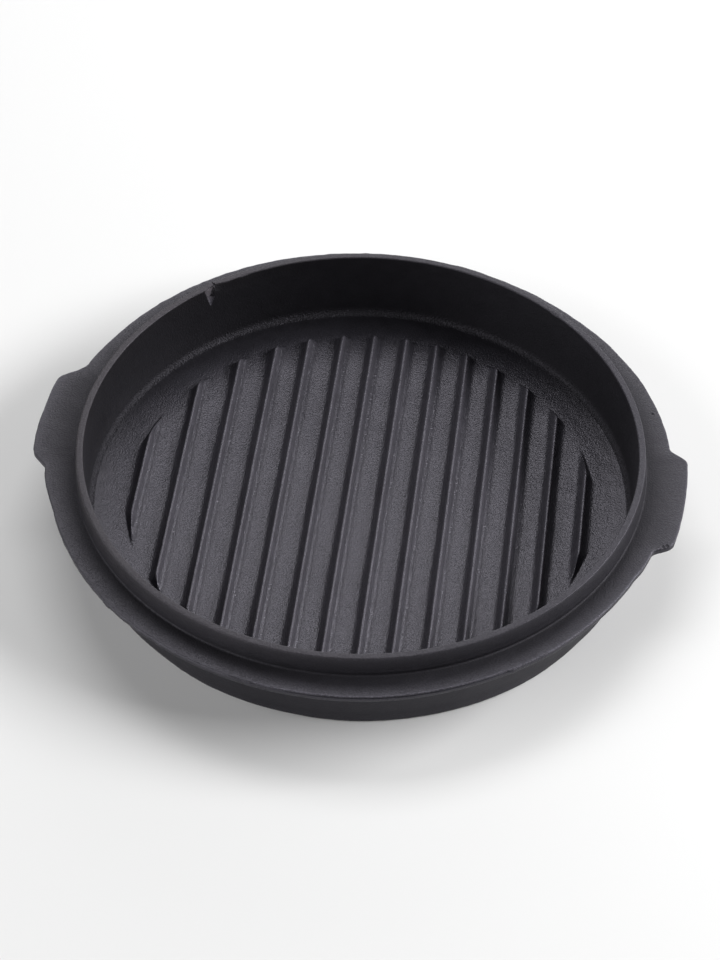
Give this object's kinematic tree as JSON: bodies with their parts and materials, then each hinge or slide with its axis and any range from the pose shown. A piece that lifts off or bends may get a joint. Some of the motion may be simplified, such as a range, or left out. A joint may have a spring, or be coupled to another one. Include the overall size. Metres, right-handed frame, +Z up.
{
  "type": "ribbed griddle lid of a dutch oven",
  "caption": "Round cast-iron dutch oven lid, inside up: a shallow dish with a ribbed grill floor, a raised locating rim, a flat seating flange and an ear handle at each side.",
  "frame": {"origin": "middle of the flat resting face, which is the lid's outside", "axes": "+Z up out of the dish towards the locating rim, +X through the ear handles, and the floor ribs run 4 degrees off Y"},
  "size_m": [0.2964, 0.2804, 0.0425],
  "materials": {
    "seasoned_iron": "sand-cast and seasoned, near black and matt, finely grained on the level faces and smoother on the upright ones"
  },
  "bodies": {
    "root": {"grill_lid": "seasoned_iron"}
  },
  "joints": []
}
